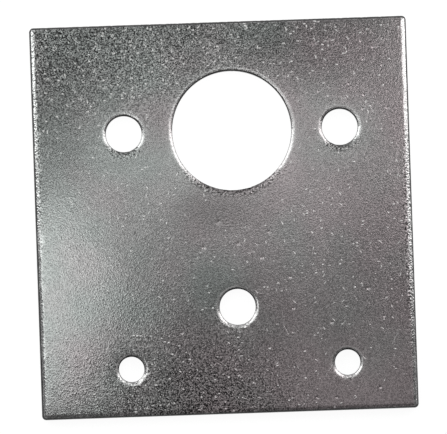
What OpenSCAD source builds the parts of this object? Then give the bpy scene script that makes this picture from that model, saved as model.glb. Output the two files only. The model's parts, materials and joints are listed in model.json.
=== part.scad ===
// Mounting plate for a ball shooter: a flat steel blank, stamped and pierced in one stroke.
// The plate lies on its back face, which is z = 0, with the middle of its outline on the origin.
// Every cut edge has the section that a press leaves: the face rolls over into the cut,
// a smooth land stands square below the roll, and a torn band slopes away to the back face.

/* [Plate] */
// Width, from the left edge to the right edge
plate_w = 66.4; // [56:0.1:100]
// Height, from the bottom edge to the top edge
plate_h = 69.1; // [60:0.1:100]
// Thickness of the sheet
plate_t = 2.4; // [1.6:0.1:5]
// Corner radius of the outline
corner_r = 0.75; // [0.2:0.05:4]

/* [Stamped edge] */
// Width of the rolled border round the outline
roll_w = 1; // [0.3:0.05:1.5]
// Depth to which the outline rolls over
roll_h = 0.5; // [0.2:0.05:0.7]
// Width of the rolled rim of every hole
rim_w = 0.8; // [0.2:0.05:1]
// Depth to which the rim of every hole rolls over
rim_h = 0.35; // [0.15:0.05:0.6]
// Height of the torn band above the back face
tear_h = 0.8; // [0.2:0.05:0.8]
// Distance that the torn band falls back from the land
tear_in = 0.08; // [0.02:0.01:0.2]

/* [Shooter holes] */
// Diameter of the large bore for the shooter
bore_d = 21; // [12:0.05:25]
// Distance from the top edge down to the middle of the bore
bore_drop = 19.2; // [14:0.1:26]
// Distance of the bore to the right of the plate's middle
bore_shift = 1.9; // [-6:0.1:6]
// Diameter of the three machine screw holes
screw_d = 6.35; // [4:0.05:8]
// Distance from the bore down to the lower machine screw hole
lower_drop = 31.1; // [18:0.1:38]

/* [Hole columns] */
// Distance between the two columns of side holes, centre to centre
column_pitch = 38.1; // [32:0.1:44]
// Diameter of the two small wood screw holes
small_d = 4.5; // [3:0.05:6]
// Distance from the bottom edge up to the wood screw holes
small_rise = 8.4; // [5:0.1:14]

/* [Hidden] */
$fn = 128;

// Heights of the hole rows and places of the columns
bore_y = plate_h / 2 - bore_drop;
lower_y = bore_y - lower_drop;
small_y = small_rise - plate_h / 2;
column_x = [bore_shift - column_pitch / 2, bore_shift + column_pitch / 2];

// Overrun of the cutting tools past both faces
overrun = plate_t;

// Radius of the arc that leaves the face level and drops by h over a width of w
function roll_radius(w, h) = (w * w + h * h) / (2 * h);

// Half of the section across the plate, with the middle on x = 0 and the land of the edge on x = half
module half_section(half) {
    arc_r = roll_radius(roll_w, roll_h);
    land_top = plate_t - roll_h;
    polygon([
        [0, 0],
        [half - tear_in, 0],
        [half, tear_h],
        [half, land_top],
        [half - roll_w, land_top],
        [half - roll_w, plate_t],
        [0, plate_t]
    ]);
    intersection() {
        translate([half - roll_w, land_top])
            square([roll_w, roll_h]);
        translate([half - roll_w, plate_t - arc_r])
            circle(arc_r);
    }
}

// Bar along Y with both of its long edges stamped
module stamped_bar(width, length) {
    rotate([90, 0, 0])
        linear_extrude(length, center = true)
            for (side = [0, 1])
                mirror([side, 0])
                    half_section(width / 2);
}

// Places its children on each corner's centre, turned to face outwards
module at_corners() {
    for (turn = [0 : 3]) {
        side_x = turn == 0 || turn == 3 ? 1 : -1;
        side_y = turn < 2 ? 1 : -1;
        translate([side_x * (plate_w / 2 - corner_r), side_y * (plate_h / 2 - corner_r), 0])
            rotate(90 * turn)
                children();
    }
}

// Quarter turn of the edge round a corner's centre
module round_corner() {
    rotate_extrude(angle = 90)
        intersection() {
            translate([corner_r - plate_w / 2, 0])
                half_section(plate_w / 2);
            square([corner_r, plate_t]);
        }
}

// The blank before piercing: the rolls of its four edges meet in mitres, and its corners are rounded
module blank() {
    difference() {
        intersection() {
            stamped_bar(plate_w, plate_h + overrun);
            rotate(90)
                stamped_bar(plate_h, plate_w + overrun);
        }
        at_corners()
            translate([0, 0, -overrun])
                cube([corner_r + overrun, corner_r + overrun, plate_t + 2 * overrun]);
    }
    at_corners()
        round_corner();
}

// Punch for one hole: a square-sided land, a rim rolled in at the face and a torn band at the back
module punch(d) {
    r = d / 2;
    arc_r = roll_radius(rim_w, rim_h);
    land_top = plate_t - rim_h;
    tear_slope = tear_in / tear_h;
    rotate_extrude() {
        polygon([
            [0, -overrun],
            [r + tear_slope * (tear_h + overrun), -overrun],
            [r, tear_h],
            [r, land_top],
            [0, land_top]
        ]);
        translate([0, land_top])
            square([r, rim_h + overrun]);
        difference() {
            translate([r, land_top])
                square([rim_w, rim_h + overrun]);
            translate([r + rim_w, plate_t - arc_r])
                circle(arc_r);
        }
    }
}

module mounting_plate() {
    color("silver")
        difference() {
            blank();
            translate([bore_shift, bore_y, 0])
                punch(bore_d);
            translate([bore_shift, lower_y, 0])
                punch(screw_d);
            for (x = column_x) {
                translate([x, bore_y, 0])
                    punch(screw_d);
                translate([x, small_y, 0])
                    punch(small_d);
            }
        }
}

mounting_plate();
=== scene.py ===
"""Ball shooter mounting plate: one stamped sheet of zinc plated steel, lying on a white table.

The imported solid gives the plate's size and its holes. A finer mesh of the same form stands for it, with the
small faults of a real pressing: an uneven roll along the edges, nicked rims and dings in the face.
Lengths are in metres, apart from those in the tables whose names end in _MM.
"""

import json
import math

import bpy
import numpy as np
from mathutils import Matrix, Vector, noise
from mathutils.geometry import delaunay_2d_cdt


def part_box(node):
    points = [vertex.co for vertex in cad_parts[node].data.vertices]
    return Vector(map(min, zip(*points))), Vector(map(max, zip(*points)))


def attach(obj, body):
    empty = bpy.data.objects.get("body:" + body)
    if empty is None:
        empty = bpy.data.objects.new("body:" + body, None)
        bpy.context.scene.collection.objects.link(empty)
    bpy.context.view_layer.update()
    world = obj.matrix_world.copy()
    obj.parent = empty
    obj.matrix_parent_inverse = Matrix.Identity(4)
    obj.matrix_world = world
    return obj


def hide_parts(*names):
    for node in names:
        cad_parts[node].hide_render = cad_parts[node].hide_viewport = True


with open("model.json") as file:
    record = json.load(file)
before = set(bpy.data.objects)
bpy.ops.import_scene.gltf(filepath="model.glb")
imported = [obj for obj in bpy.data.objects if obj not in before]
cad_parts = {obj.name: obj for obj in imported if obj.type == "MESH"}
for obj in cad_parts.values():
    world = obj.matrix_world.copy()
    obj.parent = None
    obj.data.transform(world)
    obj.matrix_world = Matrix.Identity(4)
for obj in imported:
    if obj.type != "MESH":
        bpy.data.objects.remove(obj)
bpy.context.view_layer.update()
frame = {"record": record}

MM = 0.001
NODE = "mounting_plate"

# Section of the stamped edges, as the solid has it
ROLL_W = 1.0 * MM
ROLL_H = 0.5 * MM
RIM_W = 0.8 * MM
RIM_H = 0.35 * MM
TEAR_H = 0.8 * MM
TEAR_IN = 0.08 * MM
CORNER_R = 0.75 * MM

# Fineness of the mesh
FACE_STEP = 0.36 * MM
BACK_STEP = 1.2 * MM
EDGE_STEP = 0.3 * MM
ROLL_STEPS = 10
LAND_STEPS = 4
TEAR_STEPS = 4
LEAST_HOLE_STEPS = 64
LATTICE_JITTER = 0.12
FACE_BORDER = 1.3 * ROLL_W
FACE_RIM = 1.35 * RIM_W
INNER_CORNER_R = 0.06 * MM
SHARP_ANGLE = math.radians(24)

# How the flat sides are filled: points this near are one, and only what lies inside the areas is kept
SAME_POINT = 1e-9
INSIDE_AREAS = 1

# Finishes, as the numbers of the plate's materials
FACE, CUT_AND_SHADE, BACK = range(3)

# How far the finish of the cut reaches in from the land, over the foot of the rolls and rims, where it is
# painted shade
ROLL_FOOT = 0.34 * MM
RIGHT_FOOT = 0.25 * MM
RIM_FOOT = 0.13 * MM
UPPER_RIM_FOOT = 0.3 * MM

# How far a normal has to point to the right on the right edge
RIGHT_FACING = 0.9

# Uneven width of the rolls and rims, as a share of it, and the lengths over which it changes
ROLL_WANDER = 0.2
RIM_WANDER = 0.25
SLOW_CHANGE = 2.5 * MM
FAST_CHANGE = 0.6 * MM
FAST_SHARE = 0.7
CORNER_REACH = 1.5 * MM

# Nicks in the edges that face up the plate
EDGE_NICK_DEPTH = 0.08 * MM
EDGE_NICK_LENGTH = 0.45 * MM

# Slow wave of the sheet, and its droop to the border and to the rims
SHEET_WAVE = 0.02 * MM
WAVE_LENGTH = 17 * MM
RIPPLE_LENGTH = WAVE_LENGTH / 2.3
RIPPLE_SHARE = 0.5
DROOP = 0.02 * MM
DROOP_REACH = 0.5 * MM
RIM_DROOP = 0.05 * MM
RIM_REACH = 0.9 * MM

# Seeds, and the steps between those of one edge
LATTICE_SEED = 7
OUTLINE_SEED = 1.0
HOLE_SEED = 20.0
HOLE_SEED_STEP = 3
FAST_SEED_STEP = 5
NICK_SEED_STEP = 9
WAVE_SEED = 3.0
RIPPLE_SEED = 8.0

# Strength of the skin's peel on the rolls and rims, against 1 on the flat
EDGE_REACH = 0.45 * MM
LEFT_PEEL = 2.2
LEFT_PEEL_MIDDLE = 10 * MM
RIGHT_PEEL = 3.2
RIGHT_PEEL_MIDDLE = -3 * MM
ROLL_PEEL_REACH = 18 * MM
RIM_PEEL = 0.5
LOWER_RIM_PEEL = 1.6
DRAGGED_RIM_PEEL = 2.3
LOWER_ARC = (0.35, 0.75)

# Painted highlight on the rims, against 1 on the side rolls, and painted shade below 0 on the lower arcs of
# the upper holes' rims
PAINTED_LIGHT_REACH = 0.25 * MM
RIM_PAINTED_HIGHLIGHT = 0.55
RIM_PAINTED_SHADE = -0.6
PAINTED_SHADE_ARC = (0.6, 0.9)

# Dings in the face: x, y, radius and depth
DINGS_MM = [
    (26.6, -30.7, 0.36, 0.13),
    (15.5, -32.1, 0.36, 0.12),
    (18.8, -32.2, 0.32, 0.10),
    (18.4, -19.0, 0.34, 0.13),
    (21.5, -19.2, 0.42, 0.09),
    (21.1, -16.1, 0.30, 0.09),
    (27.7, -18.2, 0.30, 0.09),
    (25.0, -13.2, 0.32, 0.10),
    (11.7, -16.3, 0.32, 0.11),
    (11.5, -20.4, 0.30, 0.09),
    (11.4, -10.8, 0.30, 0.11),
    (8.8, -18.9, 0.28, 0.08),
    (6.5, -7.2, 0.34, 0.12),
    (7.9, -2.7, 0.30, 0.09),
    (2.4, -4.6, 0.42, 0.09),
    (-1.0, -0.7, 0.50, 0.08),
    (-3.8, -5.1, 0.34, 0.12),
    (-3.4, -11.8, 0.30, 0.09),
    (-8.1, -20.0, 0.34, 0.11),
    (-19.7, -24.9, 0.36, 0.13),
    (22.9, 22.9, 0.36, 0.14),
    (27.3, 29.2, 0.30, 0.12),
    (28.0, 29.2, 0.28, 0.10),
    (25.2, 30.3, 0.28, 0.09),
    (25.5, 27.1, 0.34, 0.12),
    (28.8, 26.0, 0.30, 0.10),
    (25.5, 20.8, 0.30, 0.11),
    (25.2, 18.4, 0.28, 0.10),
    (29.5, 18.4, 0.32, 0.11),
    (17.5, 21.7, 0.36, 0.11),
    (17.0, 30.1, 0.36, 0.12),
    (13.5, 28.5, 0.32, 0.10),
    (-13.5, 23.8, 0.30, 0.12),
    (-21.4, 25.1, 0.34, 0.12),
    (-24.6, 21.7, 0.36, 0.13),
    (-16.6, 32.2, 0.32, 0.10),
    (-23.4, 33.3, 0.30, 0.10),
]
DING_RINGS = (0.25, 0.5, 0.75, 1.0, 1.4)
DING_SPOKES = 12
DING_STEEPNESS = 2

# Scratches in the face: both ends
SCRATCHES_MM = [
    ((30.2, -20.6), (28.9, -23.0)),
    ((24.9, 25.9), (29.6, 25.7)),
    ((19.4, 21.7), (22.6, 21.1)),
    ((26.5, 18.7), (27.0, 17.7)),
    ((9.9, -19.2), (10.7, -20.8)),
    ((14.6, 27.4), (18.4, 27.6)),
]
SCRATCH_WIDTH = 0.09 * MM

# Where the plating is coarsest: the middle of each spot, and how far it reaches
COARSE_SPOTS_MM = [
    ((-31, 34), (75, 24)),
    ((-6, -38), (28, 26)),
]

# Where the plating is dullest, in the same way
DULL_SPOTS_MM = [
    ((-31, 23), (12, 15)),
    ((15, 30), (15, 11)),
    ((-2, 2), (10, 6)),
]

# Share of a spot's reach over which it keeps its full strength
SPOT_CORE = 0.15


# The plate's sizes and holes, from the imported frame


def mount(name):
    """The record's mount of that name."""
    return next(m for m in frame["record"]["mounts"] if m["name"] == name)


def holes():
    """Centre and radius of every hole, from the record's mounts."""
    found = []
    for name in ("shooter_bore", "lower_screw"):
        place = mount(name)
        found.append((np.array(place["pos_m"][:2]), place["dims"]["r_mm"] * MM))
    for name in ("side_screws", "wood_screws"):
        place = mount(name)
        reach = place["dims"]["spacing_x_mm"] * MM / 2
        for side in (-1, 1):
            centre = np.array(place["pos_m"][:2]) + (side * reach, 0)
            found.append((centre, place["dims"]["hole_r_mm"] * MM))
    return found


plate_low, plate_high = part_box(NODE)
HALF = np.array(((plate_high - plate_low) / 2)[:2])
THICK = plate_high.z - plate_low.z
MIDDLE = np.array(((plate_low + plate_high) / 2)[:2])
HOLES = holes()


# The mesh


def wander(points, length, seed):
    """Smooth noise from -1 to 1 at each point, changing over about that length."""
    return np.array([noise.noise(Vector((x / length, y / length, seed))) for x, y in points])


def edge_profile(width, height):
    """Steps down a stamped edge from the face to the back: distance inside the land, and height."""
    arc_r = (width**2 + height**2) / (2 * height)
    turn = np.linspace(0, math.asin(width / arc_r), ROLL_STEPS + 1)
    roll = np.column_stack((width - arc_r * np.sin(turn), THICK - arc_r * (1 - np.cos(turn))))
    land_z = np.linspace(THICK - height, TEAR_H, LAND_STEPS + 1)[1:]
    land = np.column_stack((np.zeros(LAND_STEPS), land_z))
    fall = np.linspace(0, 1, TEAR_STEPS + 1)[1:]
    tear = np.column_stack((TEAR_IN * fall, TEAR_H * (1 - fall)))
    return np.vstack((roll, land, tear))


def outline_track():
    """The way round the outline: a function that places points at depths inside it, and their normals."""
    leads, normals = [], []
    signs = np.array(((1, 1), (-1, 1), (-1, -1), (1, -1)))
    corner_steps = 2 * round(math.pi / 2 * CORNER_R / EDGE_STEP)
    for quarter, sign in enumerate(signs):
        turn = np.radians(np.linspace(0, 90, corner_steps + 1) + 90 * quarter)
        arc = np.column_stack((np.cos(turn), np.sin(turn)))
        onward = signs[(quarter + 1) % 4] - sign
        share = np.linspace(0, 1, round(np.abs(onward * HALF).max() / EDGE_STEP) + 1)[1:-1, None]
        leads += [np.repeat([sign], len(arc), axis=0), sign + share * onward]
        normals += [arc, np.repeat(arc[-1:], len(share), axis=0)]
    leads, normals = np.vstack(leads), np.vstack(normals)

    def place(depth):
        reach = np.maximum(CORNER_R, depth + INNER_CORNER_R)
        return MIDDLE + leads * (HALF - reach[:, None]) + normals * (reach - depth)[:, None]

    return place, normals


def hole_track(centre, radius):
    """The way round a hole, clockwise: a function that places points at depths, and their normals."""
    steps = max(LEAST_HOLE_STEPS, round(math.tau * radius / EDGE_STEP))
    turn = -np.linspace(0, math.tau, steps, endpoint=False)
    out = np.column_stack((np.cos(turn), np.sin(turn)))

    def place(depth):
        return centre + out * (radius + depth)[:, None]

    return place, -out


def stamped_rings(place, normals, profile, swing, droop, seed):
    """Rings of points, one for each step of the profile, with an uneven roll and a nicked land."""
    land = place(np.zeros(len(normals)))
    from_corner = (HALF - np.abs(land - MIDDLE)).max(axis=1) - CORNER_R
    steady = np.clip(from_corner / CORNER_REACH, 0, 1)
    fast = FAST_SHARE * wander(land, FAST_CHANGE, seed + FAST_SEED_STEP)
    width = 1 + swing * steady * (wander(land, SLOW_CHANGE, seed) + fast)
    bite = np.clip(wander(land, EDGE_NICK_LENGTH, seed + NICK_SEED_STEP), 0, 1)
    nick = EDGE_NICK_DEPTH * np.clip(normals[:, 1], 0, 1) * bite
    rings = []
    for step, (inside, height) in enumerate(profile):
        share = min(step / ROLL_STEPS, 1)
        depth = inside * (width if step <= ROLL_STEPS else 1) + nick * share
        level = np.full(len(land), height - droop * (1 - share))
        rings.append(np.column_stack((place(depth), level)))
    return rings


def lattice(step):
    """Points of a triangular grid over the plate, jittered a little so that no row shows."""
    rng = np.random.default_rng(LATTICE_SEED)
    rows = np.arange(-HALF[1], HALF[1], step * math.sqrt(3) / 2)
    columns = np.arange(-HALF[0], HALF[0], step)
    grid = np.array([(x + (j % 2) * step / 2, y) for j, y in enumerate(rows) for x in columns])
    return MIDDLE + grid + rng.uniform(-LATTICE_JITTER, LATTICE_JITTER, grid.shape) * step


def edge_room(points, border, rim):
    """How far each point lies inside a border of the outline, and outside the rims of the holes."""
    rooms = [(HALF - border - np.abs(points - MIDDLE)).min(axis=1)]
    rooms += [np.linalg.norm(points - centre, axis=1) - radius - rim for centre, radius in HOLES]
    return np.array(rooms)


def near_edges(points):
    """How near each point is to the rolled border, and to the rim of every hole: 1 on it, fading to 0."""
    return np.exp(-edge_room(points, ROLL_W, RIM_W).clip(0) / EDGE_REACH)


def below(points, centre, start, full):
    """How far each point lies below a hole's centre: 0 beside it and above, and 1 near straight down."""
    away = points - centre
    down = -away[:, 1] / np.linalg.norm(away, axis=1)
    return np.clip((down - start) / (full - start), 0, 1)


def peel_strength(points):
    """Strength of the skin's peel: 1 on the flat, more on side rolls and lower rims, less on other rims."""
    near = near_edges(points)
    on_left = points[:, 0] < MIDDLE[0]
    middle = np.where(on_left, LEFT_PEEL_MIDDLE, RIGHT_PEEL_MIDDLE)
    most = np.where(on_left, LEFT_PEEL, RIGHT_PEEL)
    strength = 1 + (most - 1) * np.exp(-((points[:, 1] - middle) / ROLL_PEEL_REACH) ** 2) * near[0]
    for share, (centre, _) in zip(near[1:], HOLES):
        lower = DRAGGED_RIM_PEEL if centre[1] > MIDDLE[1] else LOWER_RIM_PEEL
        strength += share * (RIM_PEEL + (lower - RIM_PEEL) * below(points, centre, *LOWER_ARC) - 1)
    return strength


def painted_light_share(points):
    """Painted light at each point: a painted highlight of 1 on the side rolls and less on rims, and painted
    shade below 0 on the lower arcs of the upper holes' rims.
    """
    side_in = np.abs(points[:, 0] - MIDDLE[0]) - HALF[0] + ROLL_W
    share = np.clip(side_in / PAINTED_LIGHT_REACH, 0, 1)
    rooms = edge_room(points, ROLL_W, RIM_W)[1:]
    for room, (centre, _) in zip(rooms, HOLES):
        # Painted shade on the lower arc of each upper hole's rim, painted highlight on the rest of the rim
        in_shade = below(points, centre, *PAINTED_SHADE_ARC) if centre[1] > MIDDLE[1] else 0
        share += RIM_PAINTED_HIGHLIGHT * np.clip(-room / PAINTED_LIGHT_REACH, 0, 1) * (1 - in_shade)
        share += RIM_PAINTED_SHADE * np.clip(-room / RIM_W, 0, 1) * in_shade
    return share


def ding_points():
    """Rings of points round every ding, so that its bowl is round."""
    turn = np.linspace(0, math.tau, DING_SPOKES, endpoint=False)
    spokes = np.column_stack((np.cos(turn), np.sin(turn)))
    found = [np.array((x, y)) * MM + spokes * radius * ring * MM
             for x, y, radius, _ in DINGS_MM for ring in DING_RINGS]
    return np.vstack(found)


def sheet_height(points):
    """Height of the face: level, less a slow wave, a droop to the edges and the bowls of the dings."""
    wave = wander(points, WAVE_LENGTH, WAVE_SEED) + RIPPLE_SHARE * wander(points, RIPPLE_LENGTH, RIPPLE_SEED)
    height = -SHEET_WAVE * (wave - wave.min())
    rooms = edge_room(points, ROLL_W, RIM_W)
    height -= DROOP * np.exp(-rooms[0] / DROOP_REACH)
    height -= RIM_DROOP * np.exp(-rooms[1:] / RIM_REACH).sum(axis=0)
    for x, y, radius, depth in DINGS_MM:
        away = np.linalg.norm(points - np.array((x, y)) * MM, axis=1) / (radius * MM)
        height -= depth * MM * np.exp(-DING_STEEPNESS * away**2)
    return height


def fill_flat(loops, inner):
    """Triangles between the outline and the holes, as indices into the loops' points and then inner's."""
    areas, start = [], 0
    for loop in loops:
        areas.append(list(range(start, start + len(loop))))
        start += len(loop)
    # The loops of the holes run clockwise, and every area has to run the other way
    areas[1:] = [area[::-1] for area in areas[1:]]
    flat = [Vector(p) for p in np.vstack((*loops, inner))]
    _, _, triangles, origins, _, insides = delaunay_2d_cdt(flat, [], areas, INSIDE_AREAS, SAME_POINT)
    own = np.array([source[0] for source in origins])
    # What lies in the outline's area alone is metal, and a hole lies in its own area too
    metal = [inside == [0] for inside in insides]
    return own[np.array(triangles)[metal]]


def stamped_loops():
    """The rings of the outline and of every hole, and which strips of each have the finish of the cut, with
    its painted shade on the foot of the rolls and rims.
    """
    roll = edge_profile(ROLL_W, ROLL_H)
    rim = edge_profile(RIM_W, RIM_H)
    place, out = outline_track()
    loops = [stamped_rings(place, out, roll, ROLL_WANDER, DROOP, OUTLINE_SEED)]
    # Narrower band of painted shade on the right edge
    shaded_foot = np.where(out[:, 0] > RIGHT_FACING, RIGHT_FOOT, ROLL_FOOT)
    cut_and_shade_strips = [roll[:-1, 0, None] < shaded_foot]
    for number, (centre, radius) in enumerate(HOLES):
        place, out = hole_track(centre, radius)
        seed = HOLE_SEED + HOLE_SEED_STEP * number
        loops.append(stamped_rings(place, out, rim, RIM_WANDER, RIM_DROOP, seed))
        # Wider band of painted shade at the top of each hole
        upper = np.clip(-out[:, 1], 0, 1)
        shaded_foot = RIM_FOOT + (UPPER_RIM_FOOT - RIM_FOOT) * upper
        cut_and_shade_strips.append(rim[:-1, 0, None] < shaded_foot)
    return loops, cut_and_shade_strips


def edge_quads(loops, cut_and_shade_strips):
    """Quads of the stamped edges, the finish of each, and the indices of every ring's points."""
    quads, finishes, indices = [], [], []
    start = 0
    for loop, cut in zip(loops, cut_and_shade_strips):
        count = len(loop[0])
        rings = [start + step * count + np.arange(count) for step in range(len(loop))]
        for upper, lower, sheared in zip(rings, rings[1:], cut):
            strip = np.column_stack((upper, lower, np.roll(lower, -1), np.roll(upper, -1)))
            quads += strip.tolist()
            finishes += np.where(sheared, CUT_AND_SHADE, FACE).tolist()
        start += count * len(loop)
        indices.append(rings)
    return quads, finishes, indices


def face_points():
    """Points inside the face, at the height of the sheet."""
    grid = np.vstack((lattice(FACE_STEP), ding_points()))
    grid = grid[edge_room(grid, FACE_BORDER, FACE_RIM).min(axis=0) > FACE_STEP / 2]
    return np.column_stack((grid, THICK + sheet_height(grid)))


def back_points():
    """Points inside the back, all level."""
    grid = lattice(BACK_STEP)
    grid = grid[edge_room(grid, TEAR_IN, TEAR_IN).min(axis=0) > BACK_STEP / 2]
    return np.column_stack((grid, np.zeros(len(grid))))


def plate_surface():
    """Points, polygons and finishes of the plate's closed surface."""
    loops, cut_and_shade_strips = stamped_loops()
    polygons, finishes, indices = edge_quads(loops, cut_and_shade_strips)
    points = [ring for loop in loops for ring in loop]
    start = sum(len(ring) for ring in points)
    sides = ((FACE, 0, (0, 1, 2), face_points()), (BACK, -1, (2, 1, 0), back_points()))
    for finish, step, order, inner in sides:
        triangles = fill_flat([loop[step][:, :2] for loop in loops], inner[:, :2])
        index = np.concatenate([rings[step] for rings in indices] + [start + np.arange(len(inner))])
        polygons += index[triangles][:, order].tolist()
        finishes += [finish] * len(triangles)
        points.append(inner)
        start += len(inner)
    return np.vstack(points), polygons, finishes


def add_object(name, data):
    """A new object in the scene."""
    made = bpy.data.objects.new(name, data)
    bpy.context.scene.collection.objects.link(made)
    return made


def build_plate():
    """The stamped plate, with the strength of its peel and its painted highlight and shade kept on its
    points.
    """
    points, polygons, finishes = plate_surface()
    mesh = bpy.data.meshes.new("stamped_plate")
    mesh.from_pydata((points + (0, 0, plate_low.z)).tolist(), [], polygons)
    mesh.polygons.foreach_set("material_index", finishes)
    mesh.shade_smooth()
    mesh.set_sharp_from_angle(angle=SHARP_ANGLE)
    for name, strength in (("peel", peel_strength), ("painted_light", painted_light_share)):
        mesh.attributes.new(name, "FLOAT", "POINT").data.foreach_set("value", strength(points[:, :2]))
    return add_object("stamped_plate", mesh)


# Node trees


def feed(tree, socket, value):
    """Links a socket, or sets it to a constant."""
    if isinstance(value, bpy.types.NodeSocket):
        tree.links.new(value, socket)
    else:
        socket.default_value = value


def put(tree, kind, inputs=None, **options):
    """Adds a node with its options set and its inputs fed."""
    node = tree.nodes.new(kind)
    for name, value in options.items():
        setattr(node, name, value)
    for name, value in (inputs or {}).items():
        feed(tree, node.inputs[name], value)
    return node


def calc(tree, operation, *values, clamp=False):
    """Adds a Math node and gives its result."""
    node = put(tree, "ShaderNodeMath", operation=operation, use_clamp=clamp)
    for socket, value in zip(node.inputs, values):
        feed(tree, socket, value)
    return node.outputs[0]


def chain(tree, operation, first, *others):
    """One Math node after another, over all the values."""
    for other in others:
        first = calc(tree, operation, first, other)
    return first


def times(tree, *values):
    """The product of the values."""
    return chain(tree, "MULTIPLY", *values)


def plus(tree, *values):
    """The sum of the values."""
    return chain(tree, "ADD", *values)


def largest(tree, *values):
    """The largest of the values."""
    return chain(tree, "MAXIMUM", *values)


def vec(tree, operation, *values):
    """Adds a Vector Math node and gives its vector or, for a dot product or length, its value."""
    node = put(tree, "ShaderNodeVectorMath", operation=operation)
    for socket, value in zip(node.inputs, values):
        feed(tree, socket, value)
    return node.outputs["Value" if operation in ("DOT_PRODUCT", "LENGTH") else "Vector"]


def scaled(tree, factor, vector):
    """A vector, or a colour, times a value."""
    inputs = {0: vector, "Scale": factor}
    return put(tree, "ShaderNodeVectorMath", inputs, operation="SCALE").outputs["Vector"]


def span(tree, value, low, high, to_low=0.0, to_high=1.0, smooth=False):
    """Maps a value from one range to another, clamped."""
    kind = "SMOOTHSTEP" if smooth else "LINEAR"
    inputs = {"Value": value, "From Min": low, "From Max": high, "To Min": to_low, "To Max": to_high}
    return put(tree, "ShaderNodeMapRange", inputs, interpolation_type=kind).outputs["Result"]


def between(tree, share, low, high):
    """A value that goes from low to high as a share goes from 0 to 1."""
    return span(tree, share, 0.0, 1.0, low, high)


def centred(tree, share):
    """A value that goes from -0.5 to 0.5 as a share goes from 0 to 1."""
    return calc(tree, "SUBTRACT", share, 0.5)


def rise(tree, place, low, high, top=HALF[1]):
    """A value that goes from low at the plate's bottom edge to high at the height of top."""
    return span(tree, place["Y"], -HALF[1], top, low, high)


def blend(tree, share, first, second):
    """Mixes two colours, or two values."""
    node = put(tree, "ShaderNodeMix", data_type="RGBA")
    for socket, value in ((node.inputs[0], share), (node.inputs[6], first), (node.inputs[7], second)):
        feed(tree, socket, value)
    return node.outputs[2]


def noise_value(tree, vector, scale, detail, roughness=0.5):
    """Adds a noise texture and gives its value."""
    inputs = {"Vector": vector, "Scale": scale, "Detail": detail, "Roughness": roughness}
    return put(tree, "ShaderNodeTexNoise", inputs).outputs["Fac"]


def turn_flat(tree, vector, angle):
    """Turns a vector round the plate's axis."""
    inputs = {"Vector": vector, "Angle": angle}
    return put(tree, "ShaderNodeVectorRotate", inputs, rotation_type="Z_AXIS").outputs["Vector"]


def split(tree, vector):
    """The X, Y and Z of a vector."""
    return put(tree, "ShaderNodeSeparateXYZ", {"Vector": vector}).outputs


def chances(tree, colour):
    """Three random values of a cell, from its colour."""
    return put(tree, "ShaderNodeSeparateColor", {"Color": colour}).outputs


def bump(tree, height, depth):
    """A normal from a height, where a height of 1 stands that deep."""
    return put(tree, "ShaderNodeBump", {"Height": height, "Distance": depth}).outputs["Normal"]


def new_group(name, inputs, outputs):
    """An empty shader node group with those named sockets, and its two end nodes."""
    tree = bpy.data.node_groups.new(name, "ShaderNodeTree")
    for label, kind in inputs.items():
        tree.interface.new_socket(label, in_out="INPUT", socket_type=f"NodeSocket{kind}")
    for label, kind in outputs.items():
        tree.interface.new_socket(label, in_out="OUTPUT", socket_type=f"NodeSocket{kind}")
    return tree, put(tree, "NodeGroupInput").outputs, put(tree, "NodeGroupOutput").inputs


def use(tree, group, inputs):
    """Places a group in a tree and gives its outputs."""
    return put(tree, "ShaderNodeGroup", inputs, node_tree=group).outputs


# Effects that the finishes share

# Factors that drop a vector's height
FLAT = (1.0, 1.0, 0.0)

# Range in which most values of a noise lie
NOISE_RANGE = (0.3, 0.7)

# Grain: cells to a grain, size of its pimples in a cell, and which of them stand up
GRAIN_CELLS = 0.4
PIMPLE_RADIUS = 0.5
PIMPLE_CHANCES = (0.55, 1.0)

# Specks of the grain: their core and rim in a cell, how softly they set in, and how high they stand
SPECK_RIM = (0.1, 0.4)
SPECK_SOFTNESS = 0.04
SPECK_HEIGHT = 1.3

# Clouds and their tint: the ranges of noise that they take up, and the shift between the two
CLOUD_RANGE = (0.32, 0.68)
TINT_RANGE = (0.28, 0.72)
TINT_SHIFT = (0.3, 0.7, 0.1)

# Hairlines: how far they are drawn out, how finely and where they break, and the noise above which they show
HAIRLINE_DRAW = (0.03, 1.0, 1.0)
HAIRLINE_BREAKS = 520.0
BREAK_RANGE = (0.45, 0.6)
HAIRLINE_FLOOR = 0.86
HAIRLINE_FALL = 0.2
HAIRLINE_SOFTNESS = 0.06

# Nicks: the angles between which they turn, half their length as a share of the longest, and their rim
NICK_TURNS = (0.6, 2.5)
NICK_HALVES = (0.2, 0.5)
NICK_RIM = (0.3, 1.0)


def grain_group():
    """Pimpled skin of a bright zinc deposit: a fine tone, a height and a few specks that catch the light."""
    tree, given, result = new_group(
        "zinc_grain",
        {"Position": "Vector", "Grain": "Float", "Pimples": "Float", "Specks": "Float"},
        {"Tone": "Float", "Height": "Float", "Speck": "Float"},
    )
    scale = calc(tree, "DIVIDE", 1.0, given["Grain"])
    fine = noise_value(tree, given["Position"], scale, detail=1.5, roughness=0.6)
    cells = put(tree, "ShaderNodeTexVoronoi", {
        "Vector": given["Position"], "Scale": times(tree, scale, GRAIN_CELLS),
    }).outputs
    chance = chances(tree, cells["Color"])
    bead = span(tree, cells["Distance"], 0.0, PIMPLE_RADIUS, 1.0, 0.0, smooth=True)
    size = span(tree, chance["Green"], *PIMPLE_CHANCES)
    pimple = times(tree, bead, size, given["Pimples"])
    scarce = calc(tree, "SUBTRACT", 1.0, given["Specks"])
    chosen = span(tree, chance["Red"], scarce, plus(tree, scarce, SPECK_SOFTNESS))
    dot = span(tree, cells["Distance"], *SPECK_RIM, 1.0, 0.0, smooth=True)
    speck = times(tree, chosen, dot)
    feed(tree, result["Tone"], span(tree, fine, *NOISE_RANGE, smooth=True))
    feed(tree, result["Height"], plus(tree, fine, pimple, times(tree, speck, SPECK_HEIGHT)))
    feed(tree, result["Speck"], speck)
    return tree


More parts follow.
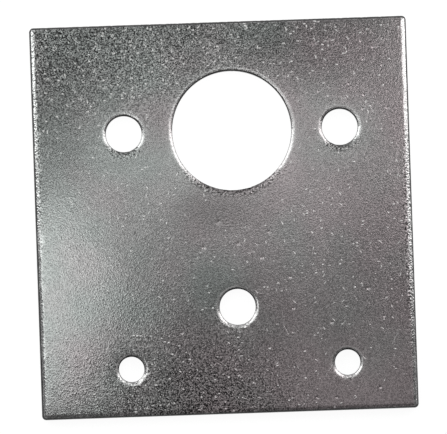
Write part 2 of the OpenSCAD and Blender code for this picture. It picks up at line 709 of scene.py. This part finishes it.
def mottle_group():
    """Slow clouds in the plating: a share for tone and a tint that drifts from cool to warm."""
    tree, given, result = new_group(
        "plating_mottle",
        {"Position": "Vector", "Size": "Float", "Bias": "Float", "Cool": "Color", "Warm": "Color"},
        {"Cloud": "Float", "Tint": "Color"},
    )
    scale = calc(tree, "DIVIDE", 1.0, given["Size"])
    cloud = noise_value(tree, given["Position"], scale, detail=3.0, roughness=0.55)
    drift = noise_value(tree, vec(tree, "ADD", given["Position"], TINT_SHIFT), scale, detail=1.0)
    warm = span(tree, plus(tree, drift, given["Bias"]), *TINT_RANGE)
    feed(tree, result["Cloud"], span(tree, cloud, *CLOUD_RANGE, smooth=True))
    feed(tree, result["Tint"], blend(tree, warm, given["Cool"], given["Warm"]))
    return tree


def hairline_group():
    """Hairline scratches in one direction, broken into short lengths."""
    tree, given, result = new_group(
        "hairlines",
        {"Position": "Vector", "Angle": "Float", "Pitch": "Float", "Share": "Float"},
        {"Line": "Float"},
    )
    turned = turn_flat(tree, given["Position"], given["Angle"])
    drawn = vec(tree, "MULTIPLY", turned, HAIRLINE_DRAW)
    streaks = noise_value(tree, drawn, calc(tree, "DIVIDE", 1.0, given["Pitch"]), detail=0.0)
    breaks = noise_value(tree, turned, HAIRLINE_BREAKS, detail=1.0)
    floor = calc(tree, "SUBTRACT", HAIRLINE_FLOOR, times(tree, given["Share"], HAIRLINE_FALL))
    line = span(tree, streaks, floor, plus(tree, floor, HAIRLINE_SOFTNESS))
    feed(tree, result["Line"], times(tree, line, span(tree, breaks, *BREAK_RANGE)))
    return tree


def scratch_group():
    """One straight scratch between two points of the face, as a mask."""
    tree, given, result = new_group(
        "single_scratch",
        {"Position": "Vector", "Start": "Vector", "End": "Vector", "Width": "Float"},
        {"Line": "Float"},
    )
    along = vec(tree, "SUBTRACT", given["End"], given["Start"])
    away = vec(tree, "MULTIPLY", vec(tree, "SUBTRACT", given["Position"], given["Start"]), FLAT)
    reached = vec(tree, "DOT_PRODUCT", away, along)
    share = calc(tree, "DIVIDE", reached, vec(tree, "DOT_PRODUCT", along, along), clamp=True)
    distance = vec(tree, "LENGTH", vec(tree, "SUBTRACT", away, scaled(tree, share, along)))
    feed(tree, result["Line"], span(tree, distance, 0.0, given["Width"], 1.0, 0.0, smooth=True))
    return tree


def nick_group():
    """Small nicks strewn over the plating: short strokes, each bent a little and turned its own way."""
    tree, given, result = new_group(
        "small_nicks",
        {"Position": "Vector", "Spacing": "Float", "Share": "Float", "Length": "Float", "Width": "Float"},
        {"Nick": "Float"},
    )
    cells = put(tree, "ShaderNodeTexVoronoi", {
        "Vector": given["Position"], "Scale": calc(tree, "DIVIDE", 1.0, given["Spacing"]),
    }, voronoi_dimensions="2D").outputs
    chance = chances(tree, cells["Color"])
    away = vec(tree, "MULTIPLY", vec(tree, "SUBTRACT", given["Position"], cells["Position"]), FLAT)
    local = split(tree, turn_flat(tree, away, between(tree, chance["Green"], *NICK_TURNS)))
    half_length = times(tree, given["Length"], between(tree, chance["Blue"], *NICK_HALVES))
    along = calc(tree, "DIVIDE", local["X"], half_length)
    bend = times(tree, along, along)
    across = plus(tree, calc(tree, "DIVIDE", local["Y"], given["Width"]), bend)
    within = put(tree, "ShaderNodeCombineXYZ", {"X": along, "Y": across}).outputs["Vector"]
    stroke = span(tree, vec(tree, "LENGTH", within), *NICK_RIM, 1.0, 0.0, smooth=True)
    chosen = calc(tree, "LESS_THAN", chance["Red"], given["Share"])
    feed(tree, result["Nick"], times(tree, stroke, chosen))
    return tree


GRAIN = grain_group()
NICKS = nick_group()
MOTTLE = mottle_group()
HAIRLINES = hairline_group()
SCRATCH = scratch_group()


# Values of the finishes. A pair goes from the bottom edge up, or from none of a thing to all of it

# Skin of the face, with its coarse spots and the flecks on its rolls
FACE_GRAIN = 0.245 * MM
FACE_PIMPLES = (0.5, 1.0)
FACE_SPECKS = 0.06
COARSE_SPECKS = (0.09, 0.24)
FLECK_GRAIN = 0.33 * MM
FLECK_PIMPLES = 0.8
FLECK_SPECKS = 0.06
FLECKED_PEEL = (1.0, 2.0)
FACE_PEEL = (0.65, 1.0)
FACE_DEPTH = 0.07 * MM

# Clouds of the face, and the tints between which they drift from left to right and up from the bottom
FACE_CLOUD_SIZE = 11 * MM
FACE_CLOUDS = (0.94, 1.06)
FACE_COOL = (0.466, 0.482, 0.475, 1.0)
FACE_WARM = (0.514, 0.462, 0.475, 1.0)
SIDE_WARMTH = (-0.26, 0.22)
LOW_WARMTH = (0.24, 0.0)
LOW_WARMTH_TOP = -0.5 * HALF[1]

# Tones of the face: how far its speckle swings, and how dark or bright it gets
FACE_SWING = (0.66, 0.43)
FACE_SWING_TOP = 0.2 * HALF[1]
COARSE_SWING = 1.25
FLECK_SWING = (0.0, 1.2)
COARSE_TONES = (1.0, 0.78)
DULL_TONES = (1.0, 0.8)
# Tones at painted shade of -1 and at painted highlight of 1
PAINTED_LIGHT_TONES = (0.05, 1.95)
BRIGHTEST_TONE = 2.05
# Tint of the painted highlight
PAINTED_HIGHLIGHT_TINT = (0.465, 0.465, 0.465, 1.0)

# Marks in the face: angle and share of each set of hairlines, sizes of the nicks, and how all of them shine,
# the nicks and specks with a painted glint that grows from the bottom edge up to the middle
FACE_HAIRLINES = ((0.1, 0.25), (1.05, 0.2), (2.2, 0.2))
FACE_PITCH = 0.16 * MM
NICK_SPACING = 1.7 * MM
NICK_LENGTH = 1.1 * MM
NICK_WIDTH = 0.11 * MM
NICK_SHARES = (0.2, 0.55)
NICK_GLINT = (0.4, 1.0)
SPECK_GLINT = (0.6, 1.0)
GLINT_TOP = 0.0
SCORE_SHINE = 0.25
SCORE_DEPTH = 0.3
NICK_DEPTH = 0.4
# Colour of the bare zinc and of the painted glint
BARE_AND_GLINTING_ZINC = (0.9, 0.9, 0.89, 1.0)

# Roughness of the face: at its least, and what the grain and the bare marks add
FACE_ROUGHNESS = 0.22
GRAIN_ROUGHNESS = 0.08
BARE_ROUGHNESS = 0.25

# The back
BACK_GRAIN = 0.42 * MM
BACK_CLOUD_SIZE = 9 * MM
BACK_COOL = (0.425, 0.435, 0.435, 1.0)
BACK_WARM = (0.455, 0.442, 0.432, 1.0)
BACK_HAIRLINES = ((0.5, 0.95), (1.9, 0.95))
BACK_PITCH = 0.2 * MM
BACK_TONES = (0.82, 1.14)
BACK_CLOUDS = (0.88, 1.08)
BACK_SCORED = (0.62, 0.62, 0.61, 1.0)
BACK_ROUGHNESS = 0.36
BACK_CLOUD_ROUGHNESS = 0.12
BACK_DEPTH = 0.03 * MM

# The cut edge: its grain, the scoring of its land, the painted shade on the foot of the roll above it, and
# the ragged border of its tear
EDGE_GRAIN = 0.22 * MM
EDGE_DRAW = (1.0, 1.0, 0.06)
SCORING_SCALE = 1 / (0.12 * MM)
SCORING_TONES = (0.75, 1.2)
TEAR_RAGGED = 0.5 * MM
TEAR_BLUR = 0.1 * MM
LAND_TOP = THICK - ROLL_H
LAND_BELOW = 0.1 * MM
LAND_ABOVE = 0.05 * MM
LAND_AND_SHADED_FOOT_TONES = (0.38, 0.1)
LAND_COLOUR = (1.0, 1.0, 1.0)
TEAR_TONES = (0.6, 1.35)
TEAR_COLOUR = (0.24, 0.237, 0.232)
EDGE_ROUGHNESS = (0.34, 0.6)
EDGE_DEPTH = 0.05 * MM

# Skin that the back and the cut edge share
PLAIN_PIMPLES = 0.2
PLAIN_SPECKS = 0.05


def new_material(name):
    """A metal material, with the position on the plate that its patterns follow."""
    material = bpy.data.materials.new(name)
    material.use_nodes = True
    tree = material.node_tree
    shader = tree.nodes["Principled BSDF"]
    shader.inputs["Metallic"].default_value = 1.0
    position = put(tree, "ShaderNodeTexCoord").outputs["Object"]
    return material, tree, shader, position


def finish_shader(tree, shader, colour, roughness, normal):
    """Feeds a metal shader."""
    feed(tree, shader.inputs["Base Color"], colour)
    feed(tree, shader.inputs["Roughness"], roughness)
    feed(tree, shader.inputs["Normal"], normal)


def in_metres(point_mm, third):
    """A point of the plate's flat given in millimetres, with a third value as it is."""
    return (*np.array(point_mm) * MM, third)


def spotted(tree, position, spots):
    """Share of a finish that comes in listed spots: 1 in the middle of each, fading to 0 at its reach."""
    shares = []
    for middle, reach in spots:
        away = vec(tree, "SUBTRACT", position, in_metres(middle, 0))
        away = vec(tree, "DIVIDE", away, in_metres(reach, 1))
        shares.append(span(tree, vec(tree, "LENGTH", away), SPOT_CORE, 1.0, 1.0, 0.0, smooth=True))
    return largest(tree, *shares)


def hairlines(tree, position, pitch, sets):
    """A mask for each set of hairlines, given by its angle and share."""
    return [
        use(tree, HAIRLINES, {"Position": position, "Angle": angle, "Pitch": pitch, "Share": share})["Line"]
        for angle, share in sets
    ]


def face_grain(tree, position, place, coarse, flecked):
    """The skin of the face, and its tone and height with the larger flecks of the rolls."""
    specks = times(tree, coarse, rise(tree, place, *COARSE_SPECKS))
    grain = use(tree, GRAIN, {
        "Position": position, "Grain": FACE_GRAIN, "Pimples": between(tree, coarse, *FACE_PIMPLES),
        "Specks": plus(tree, specks, FACE_SPECKS),
    })
    flecks = use(tree, GRAIN, {
        "Position": position, "Grain": FLECK_GRAIN, "Pimples": FLECK_PIMPLES, "Specks": FLECK_SPECKS,
    })
    tone = blend(tree, flecked, grain["Tone"], flecks["Tone"])
    height = blend(tree, flecked, grain["Height"], flecks["Height"])
    return grain, tone, height


def face_mottle(tree, position, place):
    """The clouds of the face, warmer to the right and along the bottom."""
    sideways = span(tree, place["X"], -HALF[0], HALF[0], *SIDE_WARMTH)
    warmth = plus(tree, sideways, rise(tree, place, *LOW_WARMTH, top=LOW_WARMTH_TOP))
    return use(tree, MOTTLE, {
        "Position": position, "Size": FACE_CLOUD_SIZE, "Bias": warmth, "Cool": FACE_COOL, "Warm": FACE_WARM,
    })


def face_scores(tree, position):
    """The hairlines and the placed scratches of the face, as one mask."""
    lines = hairlines(tree, position, FACE_PITCH, FACE_HAIRLINES)
    for start, end in SCRATCHES_MM:
        lines.append(use(tree, SCRATCH, {
            "Position": position, "Start": in_metres(start, 0), "End": in_metres(end, 0),
            "Width": SCRATCH_WIDTH,
        })["Line"])
    return largest(tree, *lines)


def face_nicks(tree, position, place, cloud):
    """The strewn nicks of the face, more of them in its clouds and towards the top, as a mask."""
    return use(tree, NICKS, {
        "Position": position, "Spacing": NICK_SPACING,
        "Share": times(tree, cloud, rise(tree, place, *NICK_SHARES)),
        "Length": NICK_LENGTH, "Width": NICK_WIDTH,
    })["Nick"]


def face_colour(tree, swing, fine, coarse, dull, painted_light, mottle):
    """Colour of the face before its marks: speckled, darker where coarse or dull, brighter under its painted
    highlight and darker under its painted shade.
    """
    speckle = times(tree, centred(tree, fine), swing)
    pitted = calc(tree, "SUBTRACT", coarse, painted_light, clamp=True)
    dulled = calc(tree, "SUBTRACT", dull, painted_light, clamp=True)
    # The painted highlight brightens the tone and the painted shade darkens it
    tone = times(
        tree, plus(tree, between(tree, pitted, *COARSE_TONES), speckle),
        span(tree, painted_light, -1.0, 1.0, *PAINTED_LIGHT_TONES),
        between(tree, dulled, *DULL_TONES),
        between(tree, mottle["Cloud"], *FACE_CLOUDS),
    )
    tint = blend(tree, painted_light, mottle["Tint"], PAINTED_HIGHLIGHT_TINT)
    return scaled(tree, calc(tree, "MINIMUM", tone, BRIGHTEST_TONE), tint)


def zinc_face():
    """The face: bright zinc with a speckled grain, clouds, hairlines, placed scratches and bright specks, a
    painted glint on its nicks and specks, and painted highlight and shade along its rolls and rims.
    """
    material, tree, shader, position = new_material("bright_zinc_face")
    place = split(tree, position)
    coarse = spotted(tree, position, COARSE_SPOTS_MM)
    dull = spotted(tree, position, DULL_SPOTS_MM)

    # The mesh says how strong the skin's peel is, and where highlight and shade are painted on it
    strength = put(tree, "ShaderNodeAttribute", attribute_name="peel").outputs["Fac"]
    painted_light = put(tree, "ShaderNodeAttribute", attribute_name="painted_light").outputs["Fac"]

    flecked = span(tree, strength, *FLECKED_PEEL)
    grain, fine, skin = face_grain(tree, position, place, coarse, flecked)
    mottle = face_mottle(tree, position, place)
    scored = face_scores(tree, position)
    nick = face_nicks(tree, position, place, mottle["Cloud"])
    swing = plus(
        tree, rise(tree, place, *FACE_SWING, top=FACE_SWING_TOP), times(tree, coarse, COARSE_SWING),
        span(tree, strength, *FLECKED_PEEL, *FLECK_SWING),
    )
    plain = face_colour(tree, swing, fine, coarse, dull, painted_light, mottle)
    # Bare zinc in the scratches, and bare zinc with a painted glint in the nicks and specks, stronger towards
    # the middle
    bare_and_glint = largest(
        tree, times(tree, scored, SCORE_SHINE),
        times(tree, nick, rise(tree, place, *NICK_GLINT, top=GLINT_TOP)),
        times(tree, grain["Speck"], rise(tree, place, *SPECK_GLINT, top=GLINT_TOP)),
    )
    rough = plus(
        tree, FACE_ROUGHNESS, times(tree, grain["Tone"], GRAIN_ROUGHNESS), times(tree, bare_and_glint, BARE_ROUGHNESS)
    )
    peel = times(tree, skin, between(tree, coarse, *FACE_PEEL), strength)
    marks = plus(tree, times(tree, scored, SCORE_DEPTH), times(tree, nick, NICK_DEPTH))
    normal = bump(tree, calc(tree, "SUBTRACT", peel, marks), FACE_DEPTH)
    finish_shader(tree, shader, blend(tree, bare_and_glint, plain, BARE_AND_GLINTING_ZINC), rough, normal)
    return material


def plain_grain(tree, position, size):
    """The skin of the back and of the cut edge."""
    return use(tree, GRAIN, {
        "Position": position, "Grain": size, "Pimples": PLAIN_PIMPLES, "Specks": PLAIN_SPECKS,
    })


def zinc_back():
    """The back: the same plating, scuffed where it has been slid about."""
    material, tree, shader, position = new_material("scuffed_zinc_back")
    grain = plain_grain(tree, position, BACK_GRAIN)
    mottle = use(tree, MOTTLE, {
        "Position": position, "Size": BACK_CLOUD_SIZE, "Bias": 0.0, "Cool": BACK_COOL, "Warm": BACK_WARM,
    })
    scored = largest(tree, *hairlines(tree, position, BACK_PITCH, BACK_HAIRLINES))
    tone = between(tree, grain["Tone"], *BACK_TONES)
    cloudy = between(tree, mottle["Cloud"], *BACK_CLOUDS)
    plain = scaled(tree, times(tree, tone, cloudy), mottle["Tint"])
    rough = plus(tree, BACK_ROUGHNESS, times(tree, mottle["Cloud"], BACK_CLOUD_ROUGHNESS))
    normal = bump(tree, calc(tree, "SUBTRACT", grain["Height"], scored), BACK_DEPTH)
    finish_shader(tree, shader, blend(tree, scored, plain, BACK_SCORED), rough, normal)
    return material


def sheared_edge_and_painted_shade():
    """The cut edge: painted shade on the foot of the roll, a scored land below it, and a rough torn band
    above the back.
    """
    material, tree, shader, position = new_material("sheared_zinc_edge_and_painted_shade")
    grain = plain_grain(tree, position, EDGE_GRAIN)
    drawn = vec(tree, "MULTIPLY", position, EDGE_DRAW)
    scoring = noise_value(tree, drawn, SCORING_SCALE, detail=2.0, roughness=0.65)
    level = split(tree, position)["Z"]
    ragged = plus(tree, level, times(tree, centred(tree, scoring), TEAR_RAGGED))
    torn = span(tree, ragged, TEAR_H + TEAR_BLUR, TEAR_H - TEAR_BLUR, smooth=True)
    streaky = span(tree, scoring, *NOISE_RANGE, *SCORING_TONES)
    # Painted shade: the foot of the roll above the land is darkened to a tenth
    shaded_foot = span(tree, level, LAND_TOP - LAND_BELOW, LAND_TOP + LAND_ABOVE, *LAND_AND_SHADED_FOOT_TONES, smooth=True)
    land = scaled(tree, times(tree, streaky, shaded_foot), LAND_COLOUR)
    tear = scaled(tree, between(tree, grain["Tone"], *TEAR_TONES), TEAR_COLOUR)
    rough = between(tree, torn, *EDGE_ROUGHNESS)
    normal = bump(tree, blend(tree, torn, scoring, grain["Height"]), EDGE_DEPTH)
    finish_shader(tree, shader, blend(tree, torn, land, tear), rough, normal)
    return material


# The stage, the light and the camera

TABLE_HALF = 2.0
TABLE_DROP = 0.1 * MM
TABLE_WHITE = (0.8, 0.8, 0.8, 1.0)
TABLE_DIM = (0.2, 0.2, 0.2, 1.0)
TABLE_GLOW = 0.93

# The surround: its sides, and how far up it turns dark
FAR_SIDE = (0.75, 0.75, 0.75, 1.0)
NEAR_SIDE = (0.22, 0.22, 0.22, 1.0)
ZENITH = (0.04, 0.04, 0.04, 1.0)
FROM_NEAR_TO_FAR = (0.1, 0.8)
FROM_SIDES_TO_ZENITH = (0.2, 1.0)

# Panels: name, centre, the point that each faces, size, brightness and colour
COOL = (0.97, 1.0, 0.985)
WARM = (1.0, 0.975, 0.97)
PANELS = [
    ("left_panel", (-0.124, 0.076, 0.0995), (-0.033, 0.076, 0.0275), (0.116, 0.16), 1.55, COOL),
    ("right_panel", (0.141, 0.078, 0.0955), (0.048, 0.078, 0.0115), (0.125, 0.164), 1.55, WARM),
    ("far_panel", (0.0, 0.072, 0.1), (0.0, 0.072, 0.0), (0.09, 0.044), 0.34, COOL),
    ("near_panel", (0.0, -0.08, 0.1), (0.0, -0.08, 0.0), (0.09, 0.04), 0.17, WARM),
    ("low_left_panel", (-0.041, -0.0158, 0.07), (-0.041, -0.0158, 0.0), (0.028, 0.0375), 1.62, COOL),
    ("middle_panel", (0.0, 0.0165, 0.07), (0.0, 0.0165, 0.0), (0.056, 0.02), 0.92, COOL),
    ("lower_middle_panel", (0.003, -0.007, 0.07), (0.003, -0.007, 0.0), (0.056, 0.02), 0.32, COOL),
    ("right_top_panel", (0.06, 0.02, 0.1), (0.06, 0.02, 0.0), (0.03, 0.05), 1.15, WARM),
    ("low_right_panel", (0.025, -0.0375, 0.07), (0.025, -0.0375, 0.0), (0.05, 0.025), 0.33, WARM),
]

# The camera, and how the plate lies in the photo: pixels to a millimetre, turn and offset
CAMERA_HEIGHT = 0.5
FARTHEST = 10
IMAGE_WIDTH_PX = 447
PHOTO_SCALE = 5.68
PLATE_TURN = math.radians(1.957)
PLATE_OFFSET_PX = (0.37, -0.96)


def table_finish():
    """Matt white that shows as white to the eye and in the metal, and still takes the plate's shadow."""
    material = bpy.data.materials.new("matt_white_table")
    material.use_nodes = True
    tree = material.node_tree
    tree.nodes.remove(tree.nodes["Principled BSDF"])
    path = put(tree, "ShaderNodeLightPath").outputs
    seen = plus(tree, path["Is Camera Ray"], path["Is Glossy Ray"])
    seen = calc(tree, "ADD", seen, path["Is Transmission Ray"], clamp=True)
    lit = put(tree, "ShaderNodeBsdfDiffuse", {"Color": TABLE_WHITE}).outputs[0]
    dim = put(tree, "ShaderNodeBsdfDiffuse", {"Color": TABLE_DIM}).outputs[0]
    glow = put(tree, "ShaderNodeEmission", {"Color": (1.0, 1.0, 1.0, 1.0), "Strength": TABLE_GLOW}).outputs[0]
    bright = put(tree, "ShaderNodeAddShader", {0: dim, 1: glow}).outputs[0]
    mixed = put(tree, "ShaderNodeMixShader", {0: seen, 1: lit, 2: bright}).outputs[0]
    feed(tree, tree.nodes["Material Output"].inputs["Surface"], mixed)
    return material


def white_table():
    """The table that the plate lies on."""
    corners = [(x * TABLE_HALF, y * TABLE_HALF, plate_low.z - TABLE_DROP)
               for x, y in ((-1, -1), (1, -1), (1, 1), (-1, 1))]
    mesh = bpy.data.meshes.new("white_table")
    mesh.from_pydata(corners, [], [(0, 1, 2, 3)])
    mesh.materials.append(table_finish())
    table = add_object("white_table", mesh)


def soft_panel(name, centre, aim, size, radiance, colour):
    """A flat studio panel of even brightness, seen only in the metal and by its light."""
    data = bpy.data.lights.new(name, "AREA")
    data.shape = "RECTANGLE"
    data.size, data.size_y = size
    data.energy = radiance * math.pi * size[0] * size[1]
    data.color = colour
    panel = add_object(name, data)
    panel.location = centre
    panel.rotation_euler = (Vector(aim) - Vector(centre)).to_track_quat("-Z", "Y").to_euler()
    panel.visible_camera = False


def studio_light():
    """A grey surround, lighter on the far side and dark overhead, and the panels."""
    world = bpy.data.worlds.new("studio")
    bpy.context.scene.world = world
    world.use_nodes = True
    tree = world.node_tree
    facing = split(tree, put(tree, "ShaderNodeTexCoord").outputs["Generated"])
    sides = blend(tree, span(tree, facing["Y"], *FROM_NEAR_TO_FAR, smooth=True), NEAR_SIDE, FAR_SIDE)
    surround = blend(tree, span(tree, facing["Z"], *FROM_SIDES_TO_ZENITH, smooth=True), sides, ZENITH)
    feed(tree, tree.nodes["Background"].inputs["Color"], surround)
    for panel in PANELS:
        soft_panel(*panel)


def overhead_camera():
    """A long lens straight above the face, turned so that the plate lies a little askew in the picture."""
    data = bpy.data.cameras.new("overhead_camera")
    seen_width = IMAGE_WIDTH_PX / PHOTO_SCALE * MM
    data.lens = data.sensor_width * CAMERA_HEIGHT / seen_width
    data.clip_end = FARTHEST
    camera = add_object("overhead_camera", data)
    shift = Vector((*PLATE_OFFSET_PX, 0)) * -MM / PHOTO_SCALE
    camera.rotation_euler = (0, 0, -PLATE_TURN)
    turned = camera.rotation_euler.to_matrix() @ shift
    camera.location = Vector((*MIDDLE, plate_high.z + CAMERA_HEIGHT)) + turned
    bpy.context.scene.camera = camera


plate = build_plate()
for finish in (zinc_face(), sheared_edge_and_painted_shade(), zinc_back()):
    plate.data.materials.append(finish)
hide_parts(NODE)
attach(plate, "root")

white_table()
studio_light()
overhead_camera()
bpy.context.scene.view_settings.view_transform = "Standard"
